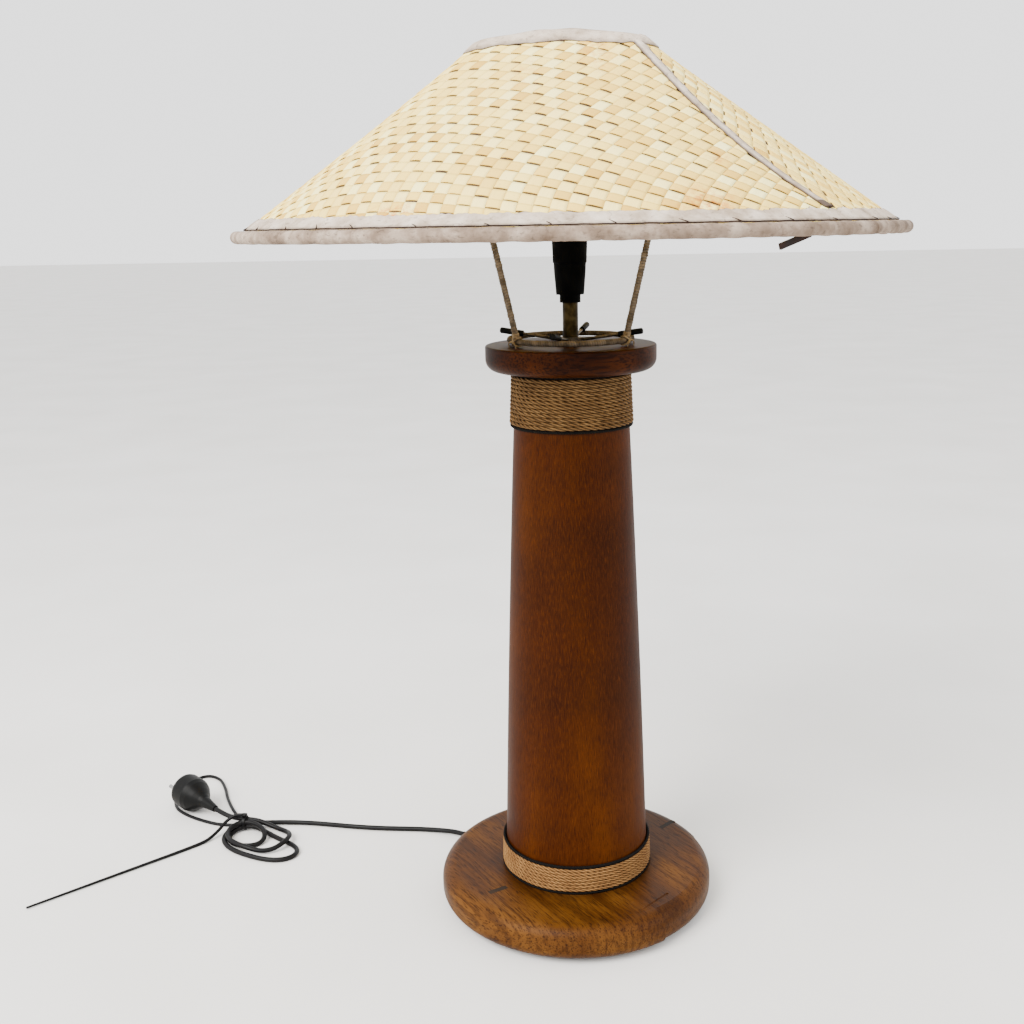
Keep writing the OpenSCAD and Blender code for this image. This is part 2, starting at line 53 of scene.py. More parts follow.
DISC_EDGE_Z = 0.6165    # where the painted highlight along the disc's upper edge begins

# ---- camera, floor and light


def new_object(name, data):
    """An object in the scene that shows the given data."""
    thing = bpy.data.objects.new(name, data)
    bpy.context.scene.collection.objects.link(thing)
    return thing


def add_camera():
    """The photograph's view."""
    data = bpy.data.cameras.new("camera")
    data.sensor_width = 36.0
    data.lens = CAMERA_LENS
    data.shift_x = CAMERA_SHIFT
    camera = new_object("camera", data)
    camera.location = CAMERA_PLACE
    yaw, tilt, roll = (math.radians(angle) for angle in CAMERA_TURN)
    turned = Matrix.Rotation(yaw, 3, "Z") @ Matrix.Rotation(tilt, 3, "X") @ Matrix.Rotation(roll, 3, "Z")
    camera.rotation_euler = turned.to_euler()
    bpy.context.scene.camera = camera


def add_area(name, place, target, size, power, colour):
    """A square area light at place that faces target."""
    data = bpy.data.lights.new(name, "AREA")
    data.shape = "SQUARE"
    data.size = size
    data.energy = power
    data.color = colour
    lamp = new_object(name, data)
    lamp.location = place
    away = [p - t for p, t in zip(place, target)]
    yaw = math.atan2(away[0], -away[1])
    lamp.rotation_euler = (math.atan2(math.hypot(away[0], away[1]), away[2]), 0, yaw)


def add_world(colour, strength):
    """Even light from all round."""
    world = bpy.data.worlds.new("studio")
    world.use_nodes = True
    background = world.node_tree.nodes["Background"]
    background.inputs["Color"].default_value = (*colour, 1)
    background.inputs["Strength"].default_value = strength
    bpy.context.scene.world = world


# ---- materials


def linear(colour):
    """A colour of 0 to 255 per channel, or a grey of 0 to 1, as linear light."""
    if isinstance(colour, tuple):
        return tuple((c / 255) ** 2.2 for c in colour) + (1,)
    return (colour, colour, colour, 1)


class Look:
    """A material and the nodes that are added to it."""

    def __init__(self, name, roughness, specular=0.5, metallic=0.0):
        self.material = bpy.data.materials.new(name)
        self.material.use_nodes = True
        self.tree = self.material.node_tree
        self.shader = self.tree.nodes["Principled BSDF"]
        self.shader.inputs["Roughness"].default_value = roughness
        self.shader.inputs["Specular IOR Level"].default_value = specular
        self.shader.inputs["Metallic"].default_value = metallic
        self.height = None

    def put(self, socket, value):
        """Links another node's output to a socket, or sets the socket's own value."""
        if isinstance(value, bpy.types.NodeSocket):
            self.tree.links.new(value, socket)
        else:
            socket.default_value = linear(value) if socket.type == "RGBA" else value

    def add(self, kind, inputs, out=0, **settings):
        """A new node's output."""
        node = self.tree.nodes.new("ShaderNode" + kind)
        for name, value in settings.items():
            setattr(node, name, value)
        for socket, value in inputs.items():
            self.put(node.inputs[socket], value)
        return node.outputs[out]

    def place(self, scale=(1, 1, 1), turn=(0, 0, 0)):
        """Object coordinates, squeezed along their own axes after being turned."""
        here = self.add("TexCoord", {}, out=3)
        stretch = tuple(1 / size for size in scale)
        return self.add("Mapping", {"Vector": here, "Scale": stretch, "Rotation": turn},
                        vector_type="TEXTURE")

    def axis(self, number):
        """One of the object's own coordinates: 0 for X, 1 for Y, 2 for Z."""
        return self.add("SeparateXYZ", {"Vector": self.place()}, out=number)

    def attribute(self, name, out=2):
        """An attribute of the mesh."""
        return self.add("Attribute", {}, out=out, attribute_name=name)

    def stretched(self, name, scale):
        """A vector attribute of a mesh, scaled."""
        return self.add("Mapping", {"Vector": self.attribute(name, out=1), "Scale": scale})

    def noise(self, scale, detail=3.0, rough=0.5, warp=0.0, where=None):
        """Noise over the object's own coordinates, or over others."""
        where = self.place() if where is None else where
        return self.add("TexNoise", {"Vector": where, "Scale": scale, "Detail": detail,
                                     "Roughness": rough, "Distortion": warp})

    def ramp(self, value, *stops):
        """A colour or a grey for each value, by stops of (value, colour)."""
        node = self.tree.nodes.new("ShaderNodeValToRGB")
        self.put(node.inputs[0], value)
        elements = node.color_ramp.elements
        while len(elements) < len(stops):
            elements.new(0.5)
        for element, (position, colour) in zip(elements, stops):
            element.position = position
            element.color = linear(colour)
        return node.outputs[0]

    def math(self, operation, a, b=0.0):
        return self.add("Math", {0: a, 1: b}, operation=operation)

    def mix(self, share, a, b, blend="MIX"):
        return self.add("Mix", {0: share, 6: a, 7: b}, out=2, data_type="RGBA",
                        blend_type=blend)

    def bump(self, height, strength, distance):
        """Small relief, on top of any that is there already."""
        inputs = {"Height": height, "Strength": strength, "Distance": distance}
        if self.height is not None:
            inputs["Normal"] = self.height
        self.height = self.add("Bump", inputs)

    def done(self, colour, roughness=None):
        """The material, once its colour and relief are linked to the shader."""
        self.put(self.shader.inputs["Base Color"], colour)
        if roughness is not None:
            self.put(self.shader.inputs["Roughness"], roughness)
        if self.height is not None:
            self.put(self.shader.inputs["Normal"], self.height)
        return self.material


def column_wood():
    """Palm wood: short dark flecks along the trunk in a red-brown ground."""
    look = Look("column_wood", 0.5, 0.04)
    flecks = look.noise(1150, 3.0, 0.6, where=look.place((1, 1, 0.09)))
    fine = look.noise(2600, 2.0, 0.6, where=look.place((1, 1, 0.03)))
    broad = look.noise(14, where=look.place((1, 1, 0.3)))
    bands = look.noise(26, 2.0, 0.45, where=look.place((0.12, 0.12, 1)))
    ground = look.ramp(broad, (0.3, (48, 22, 3)), (0.52, (57, 28, 4)),
                       (0.72, (72, 38, 8)))
    # darker through the middle of the column's height, lighter towards its foot and head
    darker_mid_height = look.ramp(look.axis(2), (0.06, 1.0), (0.26, 0.74), (0.42, 0.7), (0.57, 1.0))
    ground = look.mix(1.0, ground, darker_mid_height, "MULTIPLY")
    ground = look.mix(0.5, ground, look.ramp(bands, (0.35, 0.55), (0.65, 1.0)), "MULTIPLY")
    light = look.mix(look.ramp(fine, (0.5, 0.0), (0.72, 0.4)), ground, (88, 48, 16))
    dark = look.ramp(flecks, (0.34, 0.55), (0.48, 0.0))
    look.bump(flecks, 0.25, 0.0004)
    shine = look.ramp(broad, (0.3, 0.42), (0.7, 0.56))
    return look.done(look.mix(dark, light, (27, 10, 2)), shine)


def base_wood():
    """The same wood cut across: long dark flecks on the diagonal, and painted shade round the column's
    foot.
    """
    look = Look("base_wood", 0.46, 0.06)
    turn = (0, 0, math.radians(-57))
    streaks = look.noise(680, 3.0, 0.62, where=look.place((0.09, 1, 1), turn))
    long_lines = look.noise(260, where=look.place((0.03, 1, 0.5), turn))
    broad = look.noise(22, where=look.place((0.4, 1, 1), turn))
    ground = look.ramp(broad, (0.3, (52, 31, 12)), (0.5, (67, 41, 17)),
                       (0.72, (86, 56, 25)))
    lines = look.ramp(long_lines, (0.38, 0.5), (0.52, 0.0))
    ground = look.mix(lines, ground, (38, 20, 7))
    dark = look.ramp(streaks, (0.36, 0.75), (0.48, 0.0))
    across, along = (look.math("POWER", look.axis(number), 2.0) for number in (0, 1))
    reach = look.math("SQRT", look.math("ADD", across, along))
    # painted shade: the base darkens in a ring round the column's foot, out to 100 mm from the axis
    foot_shade = look.ramp(reach, (0.076, 0.55), (0.1, 0.0))
    wood = look.mix(dark, ground, (24, 12, 5))
    look.bump(streaks, 0.3, 0.0004)
    shine = look.ramp(broad, (0.3, 0.34), (0.7, 0.52))
    return look.done(look.mix(foot_shade, wood, (34, 19, 10)), shine)


def disc_wood():
    """The dark turned disc, with a painted highlight along its upper edge, broken up by noise."""
    look = Look("disc_wood", 0.45, 0.04)
    streaks = look.noise(520, 3.0, 0.6, where=look.place((0.05, 1, 1), (0, 0, 0.3)))
    broad = look.noise(30, where=look.place((0.5, 1, 1)))
    ground = look.ramp(broad, (0.3, (32, 15, 4)), (0.7, (58, 30, 9)))
    wood = look.mix(look.ramp(streaks, (0.4, 0.8), (0.52, 0.0)), ground, (20, 8, 3))
    # painted highlight: a lighter band just under the disc's top, where its edge catches the light
    above = look.math("SUBTRACT", look.axis(2), DISC_EDGE_Z)
    edge = look.ramp(above, (0.0, 0.0), (0.0012, 0.6), (0.0026, 0.0))
    highlight_breakup = look.ramp(look.noise(90), (0.42, 0.0), (0.6, 1.0))
    edge_highlight = look.math("MULTIPLY", edge, highlight_breakup)
    look.bump(streaks, 0.2, 0.0003)
    return look.done(look.mix(edge_highlight, wood, (82, 48, 24)))


def plain(name, colour, dark, roughness, specular=0.5, scale=260, strength=0.25, depth=0.0002):
    """A moulded or cast surface: fine grain, with slightly darker and duller patches."""
    look = Look(name, roughness, specular)
    grain = look.noise(scale * 6, 2.0)
    broad = look.noise(scale * 0.25)
    look.bump(grain, strength, depth)
    ground = look.ramp(broad, (0.35, dark), (0.65, colour))
    dull = look.ramp(broad, (0.3, roughness * 0.85), (0.7, min(1, roughness * 1.2)))
    return look.done(ground, dull)


def brushed(name, colour, dark, roughness, stretch=(1, 1, 0.04)):
    """Metal with drawn or aged streaks."""
    look = Look(name, roughness, metallic=1.0)
    streaks = look.noise(900, where=look.place(stretch))
    spots = look.noise(120, 4.0, 0.6)
    ground = look.ramp(spots, (0.35, dark), (0.62, colour))
    ground = look.mix(0.35, ground, look.ramp(streaks, (0.3, 0.55), (0.7, 1.0)), "MULTIPLY")
    look.bump(streaks, 0.15, 0.0001)
    return look.done(ground, look.ramp(spots, (0.3, roughness * 1.35), (0.7, roughness * 0.8)))


def straw():
    """Flat straw strips. Each has its own tone, and fine fibres along it."""
    look = Look("straw", 0.6, 0.06)
    fibre = look.noise(1.0, 3.0, 0.6, where=look.stretched("fibre", (60, 2200, 1)))
    tone = look.attribute("tone")
    over = look.attribute("over")
    warm = look.ramp(tone, (0.0, (208, 164, 72)), (0.45, (238, 200, 98)),
                     (1.0, (252, 224, 126)))
    pale = look.ramp(tone, (0.0, (228, 190, 94)), (0.4, (248, 218, 124)),
                     (1.0, (255, 244, 168)))
    ground = look.mix(over, warm, pale)
    ground = look.mix(0.5, ground, look.ramp(fibre, (0.3, 0.78), (0.6, 1.0)), "MULTIPLY")
    blotch = look.ramp(look.noise(150, 4.0, 0.65), (0.42, 0.0), (0.62, 1.0))
    stain = look.math("MULTIPLY", look.attribute("stain"), blotch)
    ground = look.mix(stain, ground, (190, 112, 40))
    specks = look.ramp(look.noise(420, 2.0), (0.7, 0.0), (0.78, 0.5))
    ground = look.mix(specks, ground, (150, 104, 62))
    look.bump(fibre, 0.35, 0.0003)
    return look.done(ground)


def painted_slit_shade():
    """Painted shade: the dark colour that shows in the slits between the strips."""
    look = Look("painted_slit_shade", 0.8)
    grain = look.noise(700)
    look.bump(grain, 0.4, 0.0004)
    return look.done(look.ramp(grain, (0.35, (38, 26, 14)), (0.65, (76, 54, 30))))


def hide(name, dark, mid, light):
    """Pale soft hide with faint creases, darkened as painted shade, and grubby patches."""
    look = Look(name, 0.72, 0.12)
    pebble = look.noise(1500, 3.0, 0.6)
    crease = look.noise(190, 4.0, 0.62, 0.6, where=look.place((1, 1, 2)))
    patch = look.noise(46, 4.0, 0.6)
    ground = look.ramp(patch, (0.32, dark), (0.5, mid), (0.68, light))
    # painted shade darkens the creases
    crease_shade = look.ramp(crease, (0.32, 0.5), (0.44, 0.0))
    ground = look.mix(crease_shade, ground, tuple(c * 0.6 for c in dark))
    # the line attribute darkens the seam's stitching and lower end, and lays painted shade along band
    # edges and in the roll's creases
    ground = look.mix(look.attribute("line"), ground, (52, 36, 30))
    look.bump(crease, 0.6, 0.0009)
    look.bump(pebble, 0.3, 0.0002)
    return look.done(ground)


def fibre_cord(name, dark, mid, light, groove):
    """Twisted natural cord: fibres along each strand, with painted shade in the grooves."""
    look = Look(name, 0.75, 0.08)
    fibre = look.noise(1.0, 4.0, 0.65, where=look.stretched("fibre", (180, 3000, 1)))
    patch = look.noise(60)
    ground = look.ramp(fibre, (0.28, dark), (0.5, mid), (0.74, light))
    ground = look.mix(look.ramp(patch, (0.35, 0.45), (0.6, 0.0)), ground, dark)
    # painted shade: the groove colour laid in where the strands meet
    groove_shade = look.ramp(look.attribute("groove"), (0.35, 0.0), (1.0, 0.85))
    look.bump(fibre, 0.7, 0.0004)
    return look.done(look.mix(groove_shade, ground, groove))


def wrap_cord(name, colour, dark):
    """Thin cord wound tightly round a wire, with painted shade between its turns."""
    look = Look(name, 0.7, 0.12)
    grain = look.noise(1400)
    patch = look.noise(130)
    ground = look.ramp(patch, (0.35, dark), (0.65, colour))
    # painted shade between the turns of cord
    groove_shade = look.ramp(look.attribute("groove"), (0.4, 0.0), (0.95, 0.8))
    look.bump(grain, 0.5, 0.0002)
    return look.done(look.mix(groove_shade, ground, tuple(c * 0.35 for c in dark)))


def floor_paint():
    """A plain pale floor."""
    look = Look("floor", 0.7)
    patch = look.noise(3.0, 4.0)
    return look.done(look.ramp(patch, (0.3, (214, 212, 208)), (0.7, (222, 220, 217))))


# ---- mesh helpers


def circle(count):
    """Even angles right round."""
    return np.arange(count) * TAU / count


def direction(degrees):
    """A level direction, by its angle from +X."""
    return np.array([math.cos(math.radians(degrees)), math.sin(math.radians(degrees)), 0])


def left_of(v):
    """The level direction to the left of another."""
    return np.array([-v[1], v[0], 0])


def polar(reach, angle, z):
    """Points at a distance and an angle round the Z axis, and a height."""
    return np.stack([reach * np.cos(angle), reach * np.sin(angle), z], -1)


def waves(angle, seed, low, high):
    """A smooth, seamless, repeatable wobble of about -1 to 1 round a circle."""
    own = default_rng(seed)
    total = np.zeros_like(np.asarray(angle, float))
    for _ in range(WAVE_COUNT):
        turns = own.integers(low, high + 1)
        total = total + own.uniform(0.4, 1) * np.sin(turns * angle + own.uniform(0, TAU))
    return total / math.sqrt(WAVE_COUNT)


def ring_path(reach, z, count, seed=None, wobble=0.0):
    """A level circle of points, whose height wobbles if it has a seed."""
    turn = circle(count)
    off = 0 * turn if seed is None else wobble * waves(turn, seed, 2, 14)
    return polar(reach, turn, z + off)


def make(name, points, faces, material, body, replaces=(), numbers=None, vectors=None):
    """A mesh that rides on a CAD body, with its attributes."""
    mesh = bpy.data.meshes.new(name)
    mesh.from_pydata(np.asarray(points, float).reshape(-1, 3).tolist(), [], faces)
    mesh.materials.append(material)
    mesh.shade_smooth()
    for key, values in (numbers or {}).items():
        layer = mesh.attributes.new(key, "FLOAT", "POINT")
        layer.data.foreach_set("value", np.asarray(values, np.float32).ravel())
    for key, values in (vectors or {}).items():
        layer = mesh.attributes.new(key, "FLOAT_VECTOR", "POINT")
        layer.data.foreach_set("vector", np.asarray(values, np.float32).ravel())
    mesh.update()
    thing = new_object(name, mesh)
    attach(thing, body)
    if replaces:
        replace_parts(thing, *replaces)
    return thing


def tube_faces(rows, columns, start=0, closed=False):
    """Quads of a tube of rings of points, with flat ends unless it closes on itself."""
    faces = []
    for i in range(rows if closed else rows - 1):
        a, b = start + i * columns, start + (i + 1) % rows * columns
        for j in range(columns):
            k = (j + 1) % columns
            faces.append((a + j, a + k, b + k, b + j))
    if not closed:
        faces.append(tuple(range(start, start + columns))[::-1])
        faces.append(tuple(range(start + (rows - 1) * columns, start + rows * columns)))
    return faces


def unit(v):
    """Vectors scaled to length 1."""
    return v / np.maximum(norm(v, axis=-1, keepdims=True), 1e-12)


def heading(path, closed=False):
    """The direction of a path at each of its points."""
    if closed:
        return unit(np.roll(path, -1, 0) - np.roll(path, 1, 0))
    return unit(np.gradient(path, axis=0))


def frames(path, closed=False):
    """Sideways and upward directions along a path that never runs straight up."""
    along = heading(path, closed)
    side = unit(np.cross(UPWARD, along))
    return side, np.cross(along, side)


def swept(path, radii, side, up):
    """Rings of points of the given radii (one row per path point) round a path."""
    angle = circle(radii.shape[1])
    spread = (np.cos(angle)[None, :, None] * side[:, None, :]
              + np.sin(angle)[None, :, None] * up[:, None, :])
    return path[:, None, :] + radii[:, :, None] * spread


def distances(path, closed):
    """The distance along a path to each of its points, and its whole length."""
    ahead = np.roll(path, -1, 0) if closed else np.vstack([path[1:], path[-1:]])
    steps = norm(ahead - path, axis=1)
    return np.concatenate([[0], np.cumsum(steps)[:-1]]), steps.sum()


def curve_through(points, steps):
    """A smooth path through listed points (Catmull-Rom)."""
    p = np.asarray(points, float)
    p = np.vstack([2 * p[0] - p[1], p, 2 * p[-1] - p[-2]])
    t = np.linspace(0, 1, steps, endpoint=False)[:, None]
    parts = []
    for a, b, c, d in zip(p[:-3], p[1:-2], p[2:-1], p[3:]):
        parts.append(0.5 * (2 * b + (c - a) * t + (2 * a - 5 * b + 4 * c - d) * t**2
                            + (3 * b - a - 3 * c + d) * t**3))
    return np.vstack([*parts, p[-2][None]])


class Bundle:
    """Several tubes in one mesh."""

    def __init__(self):
        self.points, self.faces, self.groove, self.fibre = [], [], [], []
        self.count = 0

    def tube(self, grid, groove=None, fibre=None, closed=False):
        """Adds a tube of rings of points."""
        rows, columns = grid.shape[:2]
        self.faces += tube_faces(rows, columns, self.count, closed)
        self.points.append(grid.reshape(-1, 3))
        self.count += rows * columns
        self.groove.append(np.zeros((rows, columns)) if groove is None else groove)
        self.fibre.append(np.zeros((rows, columns, 3)) if fibre is None else fibre)

    def make(self, name, material, body, slot, replaces=()):
        """One mesh of all the tubes."""
        make(name, np.vstack(self.points), self.faces, material, body, replaces,
             {"groove": np.concatenate([g.ravel() for g in self.groove])},
             {"fibre": np.vstack([f.reshape(-1, 3) for f in self.fibre])})


def add_loop(work, loop, radius):
    """A closed turn of thin cord."""
    along = heading(loop, True)
    side = unit(loop - loop.mean(0))
    side = unit(side - (side * along).sum(1, keepdims=True) * along)
    work.tube(swept(loop, np.full((len(loop), 8), radius), side, np.cross(along, side)),
              closed=True)


def rope_section(angle, phase, radius):
    """Radius and groove depth of a three-strand rope at an angle round it."""
    out, own, least = 0.55 * radius, 0.46 * radius, 0.6
    best = np.full(np.broadcast(angle, phase).shape, least * radius)
    for k in range(STRANDS):
        turn = angle - phase - k * TAU / STRANDS
        near = np.cos(turn) > 0
        room = own**2 - (out * np.sin(turn))**2
        reach = out * np.cos(turn) + np.sqrt(np.maximum(room, 0))
        best = np.where(near & (room > 0), np.maximum(best, reach), best)
    # the groove depth also sets how much painted shade the material lays in
    return best, 1 - (best / radius - least) / (1 - least)


def rope(bundle, path, radius, lay, columns, closed=False, seed=0.0):
    """A twisted rope along a path. lay is the length of one full twist."""
    side, up = frames(path, closed)
    along, length = distances(path, closed)
    if closed:
        lay = length / round(length / lay)
    angle = circle(columns)
    wander = lay * 0.11 * waves(along / 0.06, int(seed) + 9, 1, 9)
    phase = (along + wander)[:, None] * TAU / lay
    section, groove = rope_section(angle, phase, radius)
    grid = swept(path, section, side, up)
    across = (angle - phase) * radius
    fibre = np.stack([np.broadcast_to(along[:, None], across.shape), across,
                      np.full(across.shape, seed)], -1)
    bundle.tube(grid, groove, fibre, closed)


def wrapped(bundle, path, radius, pitch, ridge, side, up, closed, lump, seed):
    """A rod wrapped in cord: a low ridge that climbs round it."""
    along, length = distances(path, closed)
    if closed:
        pitch = length / round(length / pitch)
    phase = along[:, None] / pitch - circle(WRAP_COLUMNS) / TAU
    saw = np.abs(np.sin(math.pi * phase))
    lumps = lump * np.maximum(waves(along / length * TAU, seed, 9, 40), 0)[:, None]
    grid = swept(path, radius - ridge * (1 - saw) + lumps, side, up)
    # the groove attribute sets the painted shade between the turns
    bundle.tube(grid, (1 - saw)**2, None, closed)


# ---- the shade's shape

RIM_R, RIM_Z, SHADE_H = 0.325, 0.732, 0.178
TOP_Z = RIM_Z + SHADE_H
TOP_HALF, CORNER_POWER = 0.074, 6
RIM_TURN, TOP_TURN, CORNER_TURN = math.radians(2), math.radians(-11), math.radians(-9)
OUT, UP = 0.586, 0.81    # the skin's outward direction: away from the axis, and up
SEAM = -math.pi / 4      # the angle whose line, in shade_point, is the seam


def shade_point(a, z, lift=0.0):
    """A point on the shade. Lines of one angle lean as the seam does; lift is square to the skin."""
    z = np.asarray(z, float)
    t = (z - RIM_Z) / SHADE_H
    a = np.asarray(a, float) + TOP_TURN + (RIM_TURN - TOP_TURN) * (1 - t)**3
    edge = TOP_HALF / (np.abs(np.cos(a - CORNER_TURN))**CORNER_POWER
                       + np.abs(np.sin(a - CORNER_TURN))**CORNER_POWER)**(1 / CORNER_POWER)
    r = RIM_R * (1 - t) + edge * t + OUT * lift
    return polar(r, a, z + UP * lift + 0 * r)


def unroll(step=1.0):
    """The shade laid out flat from its seam right round: angles, top edge and rim edge."""
    angles = np.radians(np.arange(-405, -45 + step / 2, step))
    top, rim = shade_point(angles, TOP_Z), shade_point(angles, RIM_Z)

    def corner(p, q, from_p, from_q):
        """The third corner of a triangle, from two corners and its distances to them."""
        reach = norm(q - p)
        e = (q - p) / reach
        a = (from_p**2 - from_q**2 + reach**2) / (2 * reach)
        h = math.sqrt(max(from_p**2 - a**2, 0))
        return p + a * e + h * np.array([-e[1], e[0]])

    flat_top, flat_rim = [np.zeros(2)], [np.array([0, -norm(rim[0] - top[0])])]
    for k in range(len(angles) - 1):
        flat_top.append(corner(flat_top[k], flat_rim[k], norm(top[k + 1] - top[k]),
                               norm(top[k + 1] - rim[k])))
        flat_rim.append(corner(flat_top[k + 1], flat_rim[k],
                               norm(rim[k + 1] - top[k + 1]),
                               norm(rim[k + 1] - rim[k])))
    flat_top, flat_rim = np.array(flat_top), np.array(flat_rim)
    front = int(np.argmin(np.abs(angles + math.pi / 2)))
    down = unit(flat_rim[front] - flat_top[front])
    turn = np.array([[-down[1], down[0]], [-down[0], -down[1]]])
    return angles, (flat_top - flat_top[front]) @ turn.T, (flat_rim - flat_top[front]) @ turn.T


PART_SIZE = 4000             # points that are rolled up at a time
MAT_SHARES = (-0.12, 1.25)   # how far above the top and below the rim a point still counts
NEAR_LINE, FAR_OFF = 0.05, 9.0


def roll_up(points, angles, flat_top, flat_rim):
    """Angle round the shade and share of the way down it, for points of the flat layout."""
    fall = flat_rim - flat_top
    square = (fall**2).sum(1)
    found_angle, found_share, inside = [], [], []
    for part in np.array_split(points, max(1, len(points) // PART_SIZE)):
        away = part[:, None, :] - flat_top[None]
        share = (away * fall[None]).sum(2) / square
        off = (fall[None, :, 0] * away[:, :, 1] - fall[None, :, 1] * away[:, :, 0]) / np.sqrt(square)
        off = np.where((share < MAT_SHARES[0]) | (share > MAT_SHARES[1]), FAR_OFF, off)
        cross = (off[:, :-1] >= 0) != (off[:, 1:] >= 0)
        cross &= (np.abs(off[:, :-1]) < NEAR_LINE) & (np.abs(off[:, 1:]) < NEAR_LINE)
        hit = cross.any(1)
        k = np.where(hit, cross.argmax(1), np.argmin(np.abs(off[:, :-1]), 1))
        row = np.arange(len(part))
        a, b = off[row, k], off[row, k + 1]
        mixed = np.clip(a / np.where(np.abs(a - b) < 1e-9, 1e-9, a - b), 0, 1)
        found_angle.append(angles[k] * (1 - mixed) + angles[k + 1] * mixed)
        found_share.append(share[row, k] * (1 - mixed) + share[row, k + 1] * mixed)
        inside.append(hit)
    return np.concatenate(found_angle), np.concatenate(found_share), np.concatenate(inside)


ROW_PITCH, COLUMN_PITCH = 0.0141, 0.0115
ROW_DIRECTION, COLUMN_DIRECTION = direction(-27)[:2], direction(55)[:2]
SKIN_TOP, SKIN_RIM = 0.035, 0.965    # shares of the way down, between which the mat is woven
SKIN_DEPTH = 0.00215                 # from the outside strips to the inside ones
STRIP_DEPTH = 0.0009
# a stain's angle in degrees, its height, its spread and its strength
STAINS = [(-119, 0.748, 0.016, 1.0), (-70, 0.751, 0.02, 0.9), (-78, 0.893, 0.03, 0.6),
          (-108, 0.868, 0.02, 0.35), (-62, 0.79, 0.008, 0.7), (-20, 0.89, 0.02, 0.5),
          (60, 0.78, 0.02, 0.5), (150, 0.83, 0.03, 0.5)]


def weave(name, material, outward, fine):
    """The plain weave, one domed patch for each place where a strip lies on top."""
    angles, flat_top, flat_rim = unroll()
    i, j = (g.ravel() for g in np.meshgrid(np.arange(-75, 76), np.arange(-60, 61)))
    middle = ((i + 0.5)[:, None] * COLUMN_PITCH * ROW_DIRECTION
              + (j + 0.5)[:, None] * ROW_PITCH * COLUMN_DIRECTION)
    _, share, inside = roll_up(middle, angles, flat_top, flat_rim)
    kept = inside & (share > SKIN_TOP - 0.005) & (share < SKIN_RIM + 0.003)
    i, j = i[kept], j[kept]
    count = len(i)

    # which strip is on top at each crossing, and its tone
    row_over = (i + j) % 2 == (0 if outward else 1)
    strip_tone = default_rng(5)
    row_tone, column_tone = strip_tone.uniform(0, 1, 400), strip_tone.uniform(0, 1, 400)
    own = default_rng(6).uniform(0, 1, (3, count))
    tone = 0.35 * np.where(row_over, row_tone[j + 200], column_tone[i + 200]) + 0.65 * own[0]

    # each patch: a grid of points, domed across the strip and short of its neighbours
    line = np.linspace(0, 1, fine)
    a, b = (g.ravel()[None, :] for g in np.meshgrid(line, line))
    over = row_over[:, None]
    slit = (0.1 + 0.14 * own[1])[:, None]
    low_b = np.where(over, slit, -0.05)
    high_b = np.where(over, 0.985, 1.05)
    low_a = np.where(over, -0.04, 0.012)
    high_a = np.where(over, 1.04, 0.988)
    p = i[:, None] + low_a + (high_a - low_a) * a
    q = j[:, None] + low_b + (high_b - low_b) * b
    bow = np.where(over, 0.00035 * (1 - 1.9 * np.abs(2 * a - 1)**3),
                   0.00012 * (1 - 4.5 * np.abs(2 * b - 1)**3))
    tilt = 0.00016 * (own[2][:, None] - 0.5) * (2 * np.where(over, b, a) - 1)
    lift = bow + tilt - 0.00005
    flat = (p[..., None] * COLUMN_PITCH * ROW_DIRECTION
            + q[..., None] * ROW_PITCH * COLUMN_DIRECTION)
    angle, share, _ = roll_up(flat.reshape(-1, 2), angles, flat_top, flat_rim)
    share = np.clip(share, SKIN_TOP, SKIN_RIM)
    if not outward:
        lift = -SKIN_DEPTH - lift
    sink = -STRIP_DEPTH if outward else STRIP_DEPTH
    z = TOP_Z - share * SHADE_H
    points = shade_point(angle, z, lift.ravel()).reshape(count, -1, 3)

    # its faces: the top, a skirt round the edge and the underside
    grid = np.arange(fine * fine).reshape(fine, fine)
    edge = np.concatenate([grid[0, :-1], grid[:-1, -1], grid[-1, :0:-1], grid[:0:-1, 0]])
    under = shade_point(angle, z, lift.ravel() + sink).reshape(count, -1, 3)[:, edge]
    whole = np.concatenate([points, under], 1)
    size = fine * fine + len(edge)
    corners = grid[:-1, :-1], grid[:-1, 1:], grid[1:, 1:], grid[1:, :-1]
    quads = list(zip(*(c.ravel() for c in corners)))
    low_edge = fine * fine + np.arange(len(edge))
    quads += zip(np.roll(edge, -1), edge, low_edge, np.roll(low_edge, -1))
    quads.append(tuple(low_edge[::-1]))
    if not outward:
        quads = [q[::-1] for q in quads]
    faces = [tuple(int(v) + n * size for v in quad) for n in range(count) for quad in quads]

    # what the material needs: fibre direction, stains and tones
    along = np.where(over, p * COLUMN_PITCH, q * ROW_PITCH)
    across = np.where(over, q * ROW_PITCH, p * COLUMN_PITCH)
    fibre = np.stack([along, across, np.broadcast_to(own[0][:, None] * 40, along.shape)], -1)
    fibre = np.concatenate([fibre, fibre[:, edge]], 1)
    around = np.degrees(np.arctan2(points[..., 1], points[..., 0]))
    height = z.reshape(count, -1)
    stain = np.zeros_like(height)
    for at, level, spread, strength in STAINS:
        turned = (around - at + 180) % 360 - 180
        gap = np.hypot(np.radians(turned) * 0.25, (height - level) * 1.5)
        stain += strength * np.exp(-((gap / spread)**2))
    stain = np.concatenate([stain, stain[:, edge]], 1)
    numbers = {"tone": np.repeat(tone[:, None], size, 1),
               "over": np.repeat(1.0 - row_over[:, None], size, 1),
               "stain": stain if outward else stain * 0}
    make(name, whole, faces, material, "shade", (), numbers, {"fibre": fibre})


